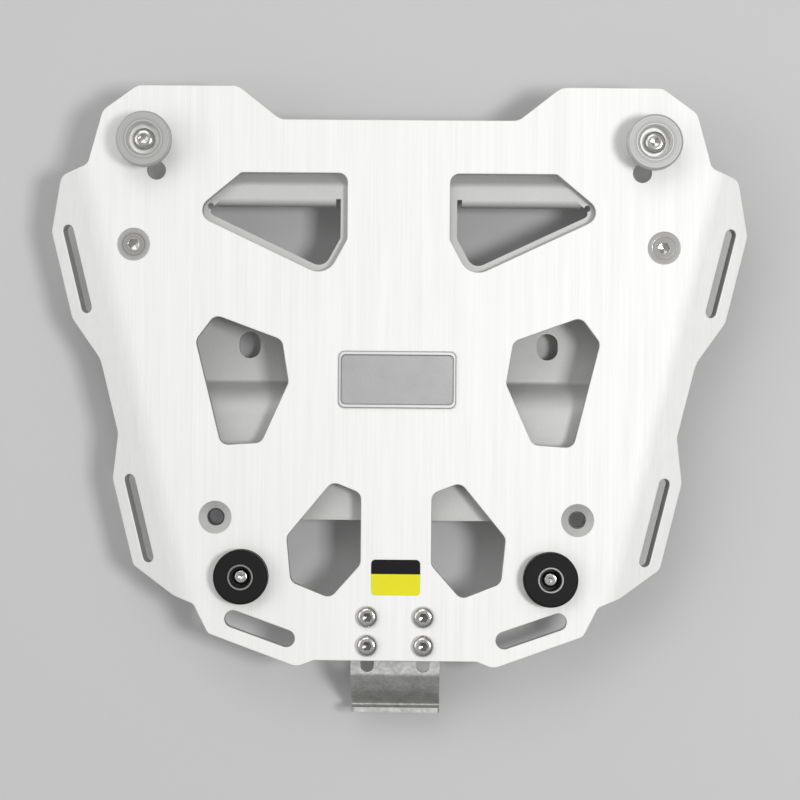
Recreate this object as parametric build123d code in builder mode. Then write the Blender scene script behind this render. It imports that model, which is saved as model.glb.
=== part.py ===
# Motorcycle luggage rack: a folded aluminium plate on a folded steel bracket,
# with two mushroom studs, two rubber pads and an adjustable rear catch for a top case.
# Millimetres. +Z is up, +Y is towards the front of the motorcycle, +X is the right-hand side.
# The origin is the middle of the bracket's underside, between its two bolt slots.

from build123d import *
from math import cos, radians, sin, tan
import os

os.makedirs("parts", exist_ok=True)

# Levels
carrier_t = 3.0
trough_depth = 28.0
plate_t = 5.0
plate_top = carrier_t + trough_depth
plate_bottom = plate_top - plate_t
rear_flat_gap = 6.0
rear_flat_top = plate_bottom - rear_flat_gap

# Clearances
thread_clear = 0.05
bore_clear = 0.2
bend_clear = 0.8

# Plate fold
fold_angle = 20.0
fold_radius = 27.0
fold_slant = 13.84
fold_x = 124.0
fold_lap = 5.0
edge_round = 0.5

# Distances across the rack, out from or in from the fold line's middle
tab_top_out = 0.5
tab_side_out = 17.0
wing_front_root_out = 24.1
wing_front_tip_out = 37.4
wing_rear_tip_out = 1.8
wing_rear_root_in = 17.8
tail_root_in = 28.0
stud_in = 4.5
carrier_screw_out = 1.7

# Plate outline, right half, from the middle of the front edge to the middle of the rear edge
front_edge_y = 106.5
tab_edge_y = 122.3
rear_edge_y = -150.1
tab_inner_foot = (56.4, front_edge_y)
tab_inner_top = (76.6, tab_edge_y)
tab_outer_top = (fold_x + tab_top_out, tab_edge_y)
tab_outer_side = (fold_x + tab_side_out, 110.3)
wing_front_root = (fold_x + wing_front_root_out, 84.7)
wing_front_tip = (fold_x + wing_front_tip_out, 79.4)
wing_rear_tip = (fold_x + wing_rear_tip_out, -106.3)
wing_rear_root = (fold_x - wing_rear_root_in, -119.9)
tail_root = (fold_x - tail_root_in, -124.0)
tail_corner = (89.0, -137.8)
tail_lobe = (46.7, -153.3)
tail_notch = (38.5, rear_edge_y)
outline_radii = (7, 8, 7, 6, 4, 0, 0, 10, 4, 4, 7, 4)
wing_front_radius = 6.0
wing_rear_radius = 4.0

# Wing edge, measured in the wing: distance out from the fold and distance along it
wing_front_start = (8.65, 86.0)
upper_lobe = 20.6
upper_lobe_front = 61.5
upper_lobe_rear = 18.8
waist = 10.85
waist_front = -3.5
waist_rear = -39.8
lower_lobe = 19.3
lower_lobe_front = -60.2
wing_edge_radii = (0, 6.0, 6.0, 15.0, 8.0, 6.0, 0, 0, 0)

# Strap slots
side_slot_width = 5.5
side_slot_length = 43.0
side_slot_inset = 8.9
upper_slot_along = 41.0
lower_slot_along = -81.6
rear_slot_width = 8.0
rear_slot_outer = (77.0, -130.8)
rear_slot_inner = (51.7, -139.8)

# Windows in the plate, right half
front_window = ((74.8, 81.0), (97.9, 61.8), (34.2, 31.8), (24.4, 49.8), (24.4, 81.0))
front_window_radii = (2.0, 5.7, 8.8, 3.0, 4.3)
middle_window = ((86.8, 13.4), (95.8, 1.3), (83.4, -48.3), (64.4, -47.0), (51.6, -18.3), (54.9, 1.7))
rear_window = ((30.4, -65.3), (51.9, -91.4), (49.8, -112.8), (31.0, -120.4), (16.8, -104.3), (16.8, -70.7))
window_radius = 4.5

# Screw places
stud_x = fold_x - stud_in
stud_y = 95.0
keyhole_in = 4.4
keyhole_behind = 13.2
keyhole_x = stud_x - keyhole_in
keyhole_y = stud_y - keyhole_behind
keyhole_r = 4.5
carrier_screw_x = fold_x + carrier_screw_out
carrier_screw_y = 46.6
rear_hole_x = 85.9
rear_hole_y = -82.6
pad_x = 73.1
pad_y = -110.4
catch_screw_x = 13.3
catch_front_screw_y = -129.1
catch_rear_screw_y = -142.7

# Screws: thread radius, head radius and height, hexagon socket across flats and depth
m4_r = 2.0
m4_head_r = 3.8
m4_head_h = 2.2
m4_socket = 2.5
m6_r = 3.0
m6_head_r = 5.25
m6_head_h = 3.3
m6_socket = 4.0
m8_r = 4.0
m8_head_r = 7.85
m8_head_recess = 0.6
m8_socket = 5.0
socket_depth = 2.0
small_socket_depth = 1.4
socket_dish = 0.4
head_round = 2.4
small_head_round = 1.6
m8_clear_r = m8_r + bore_clear
m8_flush_r = m8_head_r - m8_head_recess

# Washers and nuts
m4_washer_r = 4.5
m4_washer_t = 0.8
m4_nut_flats = 7.0
m4_nut_h = 5.0
m6_washer_r = 6.0
m6_washer_t = 1.6
m6_nut_flats = 10.0
m6_nut_h = 6.0
m8_washer_r = 8.0
m8_washer_t = 1.6
m8_nut_flats = 13.0
m8_nut_h = 8.0
nut_collar = 1.2
screw_tail = 1.0

# Mushroom studs
stud_height = 15.0
stud_cap_r = 13.0
stud_cap_h = 5.5
stud_neck_r = 8.5
stud_bore_r = 7.0
stud_bore_depth = 4.6
stud_edge = 0.8
stud_bore_edge = 0.6

# Rubber pads and their sleeves
pad_r = 12.9
pad_height = 8.0
pad_edge = 1.2
sleeve_outer_r = 6.3
sleeve_inner_r = 5.1
sleeve_floor = 2.0
sleeve_height = 7.6
sleeve_edge = 0.3

# Bracket
flange_bend_y = 76.6
flange_bend = 3.4
flange_angle = 62.0
flange_end_z = 2.5
flange_half = 122.0
lip_y = 66.0
lip_depth = 9.0
lip_radius = 3.2
lip_inner_x = 30.0
lip_outer_x = 86.9
relief_r = 1.5
relief_place = (89.6, 65.4)
window_rim = 3.3
outer_bend = 5.0
inner_bend = 2.0
front_step_top_y = 31.0
front_step_foot_y = 15.5
rear_step_foot_y = -18.0
rear_step_top_y = -24.2
rear_step_bend = 13.0
trough_half = 100.0
front_flat_front_y = 73.0
front_flat_rear_y = 35.0
ear_root_y = 70.0
ear_front_y = 62.0
ear_corner = 6.0
ear_root_radius = 3.0
rear_flat_front_y = -34.0
rear_flat_edge_y = -83.9
ear_half = 98.0
ear_inner = 74.0
ear_foot = 66.0
ear_edge_y = -94.1
ear_radius = 11.0
bolt_slot_x = 72.4
bolt_slot_width = 10.3
bolt_slot_length = 12.9

# Rear catch
catch_t = 2.4
catch_half = 21.2
catch_front_y = -116.0
catch_bend_y = -158.0
catch_lip_y = -174.8
catch_foot_z = 2.7
catch_lip_z = 12.0
catch_bend = 3.0
catch_foot_bend = 0.6
catch_corner = 1.5
catch_slot_ahead = 7.3
catch_slot_behind = 13.2
catch_slot_front_y = catch_front_screw_y + catch_slot_ahead
catch_slot_rear_y = catch_rear_screw_y - catch_slot_behind

# Rear spacers
spacer_r = 7.0
spacer_tap_r = 3.4

# Badge and label
badge_y = -16.7
badge_w = 55.8
badge_h = 27.1
badge_t = 1.4
badge_side_rim = 1.55
badge_end_rim = 2.1
badge_field_w = badge_w - 2 * badge_side_rim
badge_field_h = badge_h - 2 * badge_end_rim
badge_field_depth = 0.7
badge_bevel = 0.5
badge_corner = 3.0
badge_field_corner = 2.0
label_y = -110.4
label_w = 23.2
label_h = 16.9
label_t = 0.3
label_corner = 2.0

# Reach and directions of the right-hand fold
fold_reach = tab_edge_y - tail_lobe[1]
wing_reach = 2 * upper_lobe
fold_run = (sin(radians(fold_slant)), cos(radians(fold_slant)))
fold_out = (cos(radians(fold_slant)), -sin(radians(fold_slant)))
fold_width = fold_radius * sin(radians(fold_angle))
fold_drop = fold_radius * (1 - cos(radians(fold_angle)))
fold_plane = Plane(
    origin=(fold_x, 0, plate_top),
    x_dir=(fold_out[0], fold_out[1], 0),
    z_dir=(-fold_run[0], -fold_run[1], 0),
)
wing_rise = cos(radians(fold_angle))
wing_fall = sin(radians(fold_angle))
wing_plane = Plane(
    origin=(fold_x + fold_width * fold_out[0], fold_width * fold_out[1], plate_top - fold_drop),
    x_dir=(wing_rise * fold_out[0], wing_rise * fold_out[1], -wing_fall),
    z_dir=(wing_fall * fold_out[0], wing_fall * fold_out[1], wing_rise),
)


def fold_line_x(y):
    """X of the inner fold line at a place along the plate."""
    return fold_x + y * tan(radians(fold_slant))


def beyond(root, tip, share):
    """A point past the tip on the line from root to tip."""
    return (root[0] + share * (tip[0] - root[0]), root[1] + share * (tip[1] - root[1]))


def both_sides(x, y):
    """The same place on the right and the left of the rack."""
    return [(x, y), (-x, y)]


# Cones that reach down from their place
from_top = (Align.CENTER, Align.CENTER, Align.MAX)

# Places of studs, holes, pads and screws on both sides
stud_places = both_sides(stud_x, stud_y)
keyhole_places = both_sides(keyhole_x, keyhole_y)
carrier_places = both_sides(carrier_screw_x, carrier_screw_y)
rear_places = both_sides(rear_hole_x, rear_hole_y)
pad_places = both_sides(pad_x, pad_y)
catch_places = both_sides(catch_screw_x, catch_front_screw_y) + both_sides(catch_screw_x, catch_rear_screw_y)

# Folded plate
with BuildPart() as rack_plate:
    with BuildSketch(Plane.XY.offset(plate_bottom)):
        with BuildLine():
            Polyline(
                (0, fold_reach),
                (fold_line_x(fold_reach), fold_reach),
                (fold_line_x(-fold_reach), -fold_reach),
                (0, -fold_reach),
                close=True,
            )
        make_face()
    extrude(amount=plate_t)
    with BuildSketch(fold_plane):
        with BuildLine():
            shoulder = Line((-fold_lap, 0), (0, 0))
            bend_top = RadiusArc(shoulder @ 1, (fold_width, -fold_drop), fold_radius)
            wing_top = PolarLine(bend_top @ 1, wing_reach, -fold_angle)
            wing_end = PolarLine(wing_top @ 1, plate_t, -fold_angle - 90)
            wing_under = PolarLine(wing_end @ 1, wing_reach, 180 - fold_angle)
            bend_under = RadiusArc(wing_under @ 1, (0, -plate_t), -(fold_radius - plate_t))
            Polyline(bend_under @ 1, (-fold_lap, -plate_t), shoulder @ 0)
        make_face()
    extrude(amount=fold_reach, both=True)
    with BuildSketch(Plane.XY):
        with BuildLine():
            FilletPolyline(
                (0, front_edge_y),
                tab_inner_foot,
                tab_inner_top,
                tab_outer_top,
                tab_outer_side,
                wing_front_root,
                beyond(wing_front_root, wing_front_tip, 3),
                beyond(wing_rear_root, wing_rear_tip, 3),
                wing_rear_root,
                tail_root,
                tail_corner,
                tail_lobe,
                tail_notch,
                (0, rear_edge_y),
                radius=outline_radii,
            )
            Line((0, rear_edge_y), (0, front_edge_y))
        make_face()
    extrude(amount=2 * plate_top, mode=Mode.INTERSECT)
    with BuildSketch(wing_plane):
        with BuildLine():
            FilletPolyline(
                beyond((upper_lobe, upper_lobe_front), wing_front_start, 2),
                (upper_lobe, upper_lobe_front),
                (upper_lobe, upper_lobe_rear),
                (waist, waist_front),
                (waist, waist_rear),
                (lower_lobe, lower_lobe_front),
                (lower_lobe, -fold_reach),
                (3 * wing_reach, -fold_reach),
                (3 * wing_reach, fold_reach),
                radius=wing_edge_radii,
                close=True,
            )
        make_face()
    extrude(amount=3 * plate_t, both=True, mode=Mode.SUBTRACT)
    with BuildSketch(wing_plane):
        with Locations((upper_lobe - side_slot_inset, upper_slot_along)):
            SlotOverall(side_slot_length, side_slot_width, rotation=90)
        with Locations((lower_lobe - side_slot_inset, lower_slot_along)):
            SlotOverall(side_slot_length, side_slot_width, rotation=90)
    extrude(amount=3 * plate_t, both=True, mode=Mode.SUBTRACT)
    with BuildSketch(Plane.XY):
        with BuildLine():
            FilletPolyline(*front_window, radius=front_window_radii, close=True)
        make_face()
        with BuildLine():
            FilletPolyline(*middle_window, radius=window_radius, close=True)
        make_face()
        with BuildLine():
            FilletPolyline(*rear_window, radius=window_radius, close=True)
        make_face()
        SlotCenterPoint(
            ((rear_slot_outer[0] + rear_slot_inner[0]) / 2, (rear_slot_outer[1] + rear_slot_inner[1]) / 2),
            rear_slot_outer,
            rear_slot_width,
        )
    extrude(amount=2 * plate_top, mode=Mode.SUBTRACT)
    front_corner = rack_plate.edges().sort_by_distance(
        (wing_front_tip[0], wing_front_tip[1], plate_top - fold_drop - plate_t)
    )[0]
    fillet(front_corner, radius=wing_front_radius)
    rear_corner = rack_plate.edges().sort_by_distance(
        (wing_rear_tip[0], wing_rear_tip[1], plate_top - fold_drop - 2 * plate_t)
    )[0]
    fillet(rear_corner, radius=wing_rear_radius)
    mirror(about=Plane.YZ)
    upper_faces = rack_plate.faces().filter_by(lambda face: face.normal_at(face.center()).Z > 0.5)
    lower_faces = rack_plate.faces().filter_by(lambda face: face.normal_at(face.center()).Z < -0.5)
    side_faces = rack_plate.faces().filter_by(lambda face: abs(face.normal_at(face.center()).Z) < 0.5)
    fillet((upper_faces + lower_faces).edges() & side_faces.edges(), radius=edge_round)
    with BuildSketch(Plane.XY):
        with Locations(*keyhole_places):
            Circle(keyhole_r)
        with Locations(*pad_places):
            Circle(m4_r + bore_clear)
        with Locations(*catch_places):
            Circle(m6_r + bore_clear)
    extrude(amount=2 * plate_top, mode=Mode.SUBTRACT)
    with BuildSketch(Plane.XY):
        for keyhole, stud_place in zip(keyhole_places, stud_places):
            SlotCenterPoint(
                ((keyhole[0] + stud_place[0]) / 2, (keyhole[1] + stud_place[1]) / 2),
                stud_place,
                2 * (m6_r + bore_clear),
            )
    extrude(amount=2 * plate_top, mode=Mode.SUBTRACT)
    with Locations(*[(x, y, plate_top) for x, y in carrier_places + rear_places]):
        CounterSinkHole(m8_clear_r, m8_head_r, depth=plate_t, counter_sink_angle=90)
rack_plate.part.label = "rack_plate"
export_step(rack_plate.part, "parts/rack_plate.step")

# Folded carrier bracket
lip_start_y = lip_y + lip_radius
flange_run = (plate_bottom - flange_end_z) / tan(radians(flange_angle))
with BuildPart() as carrier_bracket:
    with BuildSketch(Plane.YZ.offset(lip_inner_x)):
        with BuildLine():
            FilletPolyline(
                (front_flat_front_y, plate_bottom),
                (lip_y, plate_bottom),
                (lip_y, plate_bottom - lip_depth),
                radius=lip_radius,
            )
            offset(amount=carrier_t, side=Side.LEFT)
        make_face()
    extrude(amount=lip_outer_x - lip_inner_x)
    mirror(about=Plane.YZ)
    with BuildSketch(Plane.XY.offset(plate_bottom - carrier_t)):
        with BuildLine():
            FilletPolyline(
                (0, front_flat_front_y),
                (flange_half, front_flat_front_y),
                (flange_half, ear_root_y),
                (fold_line_x(ear_front_y) - bend_clear, ear_front_y),
                (fold_line_x(front_flat_rear_y) - bend_clear, front_flat_rear_y),
                (0, front_flat_rear_y),
                radius=(0, ear_root_radius, ear_corner, ear_corner),
            )
            Line((0, front_flat_rear_y), (0, front_flat_front_y))
        make_face()
        with BuildLine():
            FilletPolyline(*front_window, radius=front_window_radii, close=True)
        window_face = make_face(mode=Mode.PRIVATE)
        offset(window_face, amount=-window_rim, mode=Mode.SUBTRACT)
        with Locations((0, lip_start_y)):
            Rectangle(trough_half, front_flat_front_y - lip_start_y, align=(Align.MIN, Align.MIN))
        with Locations((carrier_screw_x, carrier_screw_y)):
            Circle(m8_clear_r, mode=Mode.SUBTRACT)
        mirror(about=Plane.YZ)
    extrude(amount=carrier_t)
    with BuildSketch(Plane.YZ):
        with BuildLine():
            FilletPolyline(
                (front_flat_front_y - 1, plate_bottom),
                (flange_bend_y, plate_bottom),
                (flange_bend_y + flange_run, flange_end_z),
                radius=flange_bend,
            )
            offset(amount=carrier_t, side=Side.RIGHT)
        make_face()
    extrude(amount=flange_half, both=True)
    with BuildSketch(Plane.XY.offset(plate_bottom)):
        with Locations(*both_sides(relief_place[0], relief_place[1])):
            Circle(relief_r)
    extrude(amount=-2 * carrier_t, mode=Mode.SUBTRACT)
    with BuildSketch(Plane.YZ):
        with BuildLine():
            FilletPolyline(
                (front_flat_rear_y + 1, plate_bottom),
                (front_step_top_y, plate_bottom),
                (front_step_foot_y, carrier_t),
                (rear_step_foot_y, carrier_t),
                (rear_step_top_y, rear_flat_top),
                (rear_flat_front_y - 1, rear_flat_top),
                radius=(outer_bend, inner_bend, inner_bend, rear_step_bend),
            )
            offset(amount=carrier_t, side=Side.LEFT)
        make_face()
    extrude(amount=trough_half, both=True)
    with BuildSketch(Plane.XY.offset(rear_flat_top - carrier_t)):
        with BuildLine():
            FilletPolyline(
                (0, rear_flat_front_y),
                (trough_half, rear_flat_front_y),
                (ear_half, ear_edge_y),
                (ear_inner, ear_edge_y),
                (ear_foot, rear_flat_edge_y),
                (0, rear_flat_edge_y),
                radius=(0, ear_radius, ear_corner, ear_corner),
            )
            Line((0, rear_flat_edge_y), (0, rear_flat_front_y))
        make_face()
        with Locations((rear_hole_x, rear_hole_y)):
            Circle(m8_clear_r, mode=Mode.SUBTRACT)
        mirror(about=Plane.YZ)
    extrude(amount=carrier_t)
    with BuildSketch(Plane.XY):
        with Locations(*both_sides(bolt_slot_x, 0)):
            SlotOverall(bolt_slot_length, bolt_slot_width, rotation=90)
    extrude(amount=carrier_t, mode=Mode.SUBTRACT)
carrier_bracket.part.label = "carrier_bracket"
export_step(carrier_bracket.part, "parts/carrier_bracket.step")

# Countersunk screws that hold the bracket's front ears, just below the plate's face
carrier_screw_top = plate_top - m8_head_recess
carrier_washer_top = plate_bottom - carrier_t
carrier_nut_top = carrier_washer_top - m8_washer_t
carrier_screw_end = carrier_nut_top - m8_nut_h - screw_tail
with BuildPart() as carrier_screws:
    with BuildSketch(Plane.XY.offset(carrier_screw_end)):
        with Locations(*carrier_places):
            Circle(m8_r)
    extrude(amount=carrier_screw_top - carrier_screw_end)
    with Locations(*[(x, y, carrier_screw_top) for x, y in carrier_places]):
        Cone(m8_r, m8_flush_r, m8_flush_r - m8_r, align=from_top)
    with BuildSketch(Plane.XY.offset(carrier_screw_top)):
        with Locations(*carrier_places):
            RegularPolygon(m8_socket / 2, 6, major_radius=False)
    extrude(amount=-socket_depth, mode=Mode.SUBTRACT)
    with Locations(*[(x, y, carrier_screw_top - socket_depth) for x, y in carrier_places]):
        Cone(0, m8_socket / 2, socket_dish, align=from_top, mode=Mode.SUBTRACT)
carrier_screws.part.label = "carrier_screws"
export_step(carrier_screws.part, "parts/carrier_screws.step")

with BuildPart() as carrier_washers:
    with BuildSketch(Plane.XY.offset(carrier_washer_top)):
        with Locations(*carrier_places):
            Circle(m8_washer_r)
            Circle(m8_clear_r, mode=Mode.SUBTRACT)
    extrude(amount=-m8_washer_t)
carrier_washers.part.label = "carrier_washers"
export_step(carrier_washers.part, "parts/carrier_washers.step")

with BuildPart() as carrier_nuts:
    with BuildSketch(Plane.XY.offset(carrier_nut_top)):
        with Locations(*carrier_places):
            RegularPolygon(m8_nut_flats / 2, 6, major_radius=False)
            Circle(m8_r + thread_clear, mode=Mode.SUBTRACT)
    extrude(amount=nut_collar - m8_nut_h)
    with BuildSketch(Plane.XY.offset(carrier_nut_top - m8_nut_h)):
        with Locations(*carrier_places):
            Circle(m8_nut_flats / 2 - nut_collar / 2)
            Circle(m8_r + thread_clear, mode=Mode.SUBTRACT)
    extrude(amount=nut_collar)
carrier_nuts.part.label = "carrier_nuts"
export_step(carrier_nuts.part, "parts/carrier_nuts.step")

# Tapped spacers under the two empty countersunk holes
with BuildPart() as rear_spacers:
    with BuildSketch(Plane.XY.offset(rear_flat_top)):
        with Locations(*rear_places):
            Circle(spacer_r)
            Circle(spacer_tap_r, mode=Mode.SUBTRACT)
    extrude(amount=rear_flat_gap)
rear_spacers.part.label = "rear_spacers"
export_step(rear_spacers.part, "parts/rear_spacers.step")

# Mushroom studs with a counterbore for their screws
stud_seat = plate_top + stud_height - stud_bore_depth
for side, place in (("right", stud_places[0]), ("left", stud_places[1])):
    with BuildPart() as stud:
        with BuildSketch(Plane.XY.offset(plate_top)):
            with Locations(place):
                Circle(stud_neck_r)
        extrude(amount=stud_height - stud_cap_h)
        with BuildSketch(Plane.XY.offset(plate_top + stud_height)):
            with Locations(place):
                Circle(stud_cap_r)
        extrude(amount=-stud_cap_h)
        cap_edges = stud.edges().filter_by(GeomType.CIRCLE).sort_by(SortBy.RADIUS)[-2:]
        chamfer(cap_edges, stud_edge)
        with BuildSketch(Plane.XY.offset(plate_top + stud_height)):
            with Locations(place):
                Circle(stud_bore_r)
        extrude(amount=-stud_bore_depth, mode=Mode.SUBTRACT)
        bore_mouth = stud.edges().group_by(Axis.Z)[-1].sort_by(SortBy.RADIUS)[0]
        chamfer(bore_mouth, stud_bore_edge)
        with BuildSketch(Plane.XY.offset(plate_top)):
            with Locations(place):
                Circle(m6_r + bore_clear)
        extrude(amount=stud_height, mode=Mode.SUBTRACT)
    stud.part.label = side + "_stud"
    export_step(stud.part, "parts/" + side + "_stud.step")

stud_nut_top = plate_bottom - m6_washer_t
stud_screw_end = stud_nut_top - m6_nut_h - screw_tail
with BuildPart() as stud_screws:
    with BuildSketch(Plane.XY.offset(stud_seat)):
        with Locations(*stud_places):
            Circle(m6_head_r)
    extrude(amount=m6_head_h)
    fillet(stud_screws.edges().group_by(Axis.Z)[-1], radius=head_round)
    with BuildSketch(Plane.XY.offset(stud_seat)):
        with Locations(*stud_places):
            Circle(m6_r)
    extrude(amount=stud_screw_end - stud_seat)
    with BuildSketch(Plane.XY.offset(stud_seat + m6_head_h)):
        with Locations(*stud_places):
            RegularPolygon(m6_socket / 2, 6, major_radius=False)
    extrude(amount=-socket_depth, mode=Mode.SUBTRACT)
    with Locations(*[(x, y, stud_seat + m6_head_h - socket_depth) for x, y in stud_places]):
        Cone(0, m6_socket / 2, socket_dish, align=from_top, mode=Mode.SUBTRACT)
stud_screws.part.label = "stud_screws"
export_step(stud_screws.part, "parts/stud_screws.step")

with BuildPart() as stud_washers:
    with BuildSketch(Plane.XY.offset(plate_bottom)):
        with Locations(*stud_places):
            Circle(m6_washer_r)
            Circle(m6_r + bore_clear, mode=Mode.SUBTRACT)
    extrude(amount=-m6_washer_t)
stud_washers.part.label = "stud_washers"
export_step(stud_washers.part, "parts/stud_washers.step")

with BuildPart() as stud_nuts:
    with BuildSketch(Plane.XY.offset(stud_nut_top)):
        with Locations(*stud_places):
            RegularPolygon(m6_nut_flats / 2, 6, major_radius=False)
            Circle(m6_r + thread_clear, mode=Mode.SUBTRACT)
    extrude(amount=nut_collar - m6_nut_h)
    with BuildSketch(Plane.XY.offset(stud_nut_top - m6_nut_h)):
        with Locations(*stud_places):
            Circle(m6_nut_flats / 2 - nut_collar / 2)
            Circle(m6_r + thread_clear, mode=Mode.SUBTRACT)
    extrude(amount=nut_collar)
stud_nuts.part.label = "stud_nuts"
export_step(stud_nuts.part, "parts/stud_nuts.step")

# Rubber pads, each on a cupped metal sleeve
for side, place in (("right", pad_places[0]), ("left", pad_places[1])):
    with BuildPart() as rubber_pad:
        with BuildSketch(Plane.XY.offset(plate_top)):
            with Locations(place):
                Circle(pad_r)
                Circle(sleeve_outer_r, mode=Mode.SUBTRACT)
        extrude(amount=pad_height)
        pad_rim = rubber_pad.edges().group_by(Axis.Z)[-1].sort_by(SortBy.RADIUS)[-1]
        fillet(pad_rim, radius=pad_edge)
    rubber_pad.part.label = side + "_rubber_pad"
    export_step(rubber_pad.part, "parts/" + side + "_rubber_pad.step")

with BuildPart() as pad_sleeves:
    with BuildSketch(Plane.XY.offset(plate_top)):
        with Locations(*pad_places):
            Circle(sleeve_outer_r)
            Circle(m4_r + bore_clear, mode=Mode.SUBTRACT)
    extrude(amount=sleeve_height)
    with BuildSketch(Plane.XY.offset(plate_top + sleeve_floor)):
        with Locations(*pad_places):
            Circle(sleeve_inner_r)
    extrude(amount=sleeve_height, mode=Mode.SUBTRACT)
    chamfer(pad_sleeves.edges().group_by(Axis.Z)[-1], sleeve_edge)
pad_sleeves.part.label = "pad_sleeves"
export_step(pad_sleeves.part, "parts/pad_sleeves.step")

pad_seat = plate_top + sleeve_floor
pad_nut_top = plate_bottom - m4_washer_t
pad_screw_end = pad_nut_top - m4_nut_h - screw_tail
with BuildPart() as pad_screws:
    with BuildSketch(Plane.XY.offset(pad_seat)):
        with Locations(*pad_places):
            Circle(m4_head_r)
    extrude(amount=m4_head_h)
    fillet(pad_screws.edges().group_by(Axis.Z)[-1], radius=small_head_round)
    with BuildSketch(Plane.XY.offset(pad_seat)):
        with Locations(*pad_places):
            Circle(m4_r)
    extrude(amount=pad_screw_end - pad_seat)
    with BuildSketch(Plane.XY.offset(pad_seat + m4_head_h)):
        with Locations(*pad_places):
            RegularPolygon(m4_socket / 2, 6, major_radius=False)
    extrude(amount=-small_socket_depth, mode=Mode.SUBTRACT)
    with Locations(*[(x, y, pad_seat + m4_head_h - small_socket_depth) for x, y in pad_places]):
        Cone(0, m4_socket / 2, socket_dish, align=from_top, mode=Mode.SUBTRACT)
pad_screws.part.label = "pad_screws"
export_step(pad_screws.part, "parts/pad_screws.step")

with BuildPart() as pad_washers:
    with BuildSketch(Plane.XY.offset(plate_bottom)):
        with Locations(*pad_places):
            Circle(m4_washer_r)
            Circle(m4_r + bore_clear, mode=Mode.SUBTRACT)
    extrude(amount=-m4_washer_t)
pad_washers.part.label = "pad_washers"
export_step(pad_washers.part, "parts/pad_washers.step")

with BuildPart() as pad_nuts:
    with BuildSketch(Plane.XY.offset(pad_nut_top)):
        with Locations(*pad_places):
            RegularPolygon(m4_nut_flats / 2, 6, major_radius=False)
            Circle(m4_r + thread_clear, mode=Mode.SUBTRACT)
    extrude(amount=nut_collar - m4_nut_h)
    with BuildSketch(Plane.XY.offset(pad_nut_top - m4_nut_h)):
        with Locations(*pad_places):
            Circle(m4_nut_flats / 2 - nut_collar / 2)
            Circle(m4_r + thread_clear, mode=Mode.SUBTRACT)
    extrude(amount=nut_collar)
pad_nuts.part.label = "pad_nuts"
export_step(pad_nuts.part, "parts/pad_nuts.step")

# Bent rear catch with its two adjusting slots
with BuildPart() as catch_plate:
    with BuildSketch(Plane.YZ):
        with BuildLine():
            FilletPolyline(
                (catch_front_y, plate_bottom),
                (catch_bend_y, plate_bottom),
                (catch_lip_y, catch_foot_z),
                (catch_lip_y, catch_lip_z),
                radius=(catch_bend, catch_foot_bend),
            )
            offset(amount=catch_t, side=Side.LEFT)
        make_face()
    extrude(amount=catch_half, both=True)
    lip_corners = catch_plate.edges().filter_by(Axis.Y).group_by(Axis.Z)[0]
    front_corners = catch_plate.edges().filter_by(Axis.Z).group_by(Axis.Y)[-1]
    fillet(lip_corners + front_corners, radius=catch_corner)
    with BuildSketch(Plane.XY.offset(plate_bottom)):
        with Locations(*both_sides(catch_screw_x, (catch_slot_front_y + catch_slot_rear_y) / 2)):
            SlotOverall(catch_slot_front_y - catch_slot_rear_y, 2 * (m6_r + bore_clear), rotation=90)
    extrude(amount=-2 * catch_t, mode=Mode.SUBTRACT)
catch_plate.part.label = "catch_plate"
export_step(catch_plate.part, "parts/catch_plate.step")

catch_washer_top = plate_bottom - catch_t
catch_nut_top = catch_washer_top - m6_washer_t
catch_screw_end = catch_nut_top - m6_nut_h - screw_tail
with BuildPart() as catch_screws:
    with BuildSketch(Plane.XY.offset(plate_top)):
        with Locations(*catch_places):
            Circle(m6_head_r)
    extrude(amount=m6_head_h)
    fillet(catch_screws.edges().group_by(Axis.Z)[-1], radius=head_round)
    with BuildSketch(Plane.XY.offset(plate_top)):
        with Locations(*catch_places):
            Circle(m6_r)
    extrude(amount=catch_screw_end - plate_top)
    with BuildSketch(Plane.XY.offset(plate_top + m6_head_h)):
        with Locations(*catch_places):
            RegularPolygon(m6_socket / 2, 6, major_radius=False)
    extrude(amount=-socket_depth, mode=Mode.SUBTRACT)
    with Locations(*[(x, y, plate_top + m6_head_h - socket_depth) for x, y in catch_places]):
        Cone(0, m6_socket / 2, socket_dish, align=from_top, mode=Mode.SUBTRACT)
catch_screws.part.label = "catch_screws"
export_step(catch_screws.part, "parts/catch_screws.step")

with BuildPart() as catch_washers:
    with BuildSketch(Plane.XY.offset(catch_washer_top)):
        with Locations(*catch_places):
            Circle(m6_washer_r)
            Circle(m6_r + bore_clear, mode=Mode.SUBTRACT)
    extrude(amount=-m6_washer_t)
catch_washers.part.label = "catch_washers"
export_step(catch_washers.part, "parts/catch_washers.step")

with BuildPart() as catch_nuts:
    with BuildSketch(Plane.XY.offset(catch_nut_top)):
        with Locations(*catch_places):
            RegularPolygon(m6_nut_flats / 2, 6, major_radius=False)
            Circle(m6_r + thread_clear, mode=Mode.SUBTRACT)
    extrude(amount=nut_collar - m6_nut_h)
    with BuildSketch(Plane.XY.offset(catch_nut_top - m6_nut_h)):
        with Locations(*catch_places):
            Circle(m6_nut_flats / 2 - nut_collar / 2)
            Circle(m6_r + thread_clear, mode=Mode.SUBTRACT)
    extrude(amount=nut_collar)
catch_nuts.part.label = "catch_nuts"
export_step(catch_nuts.part, "parts/catch_nuts.step")

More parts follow.
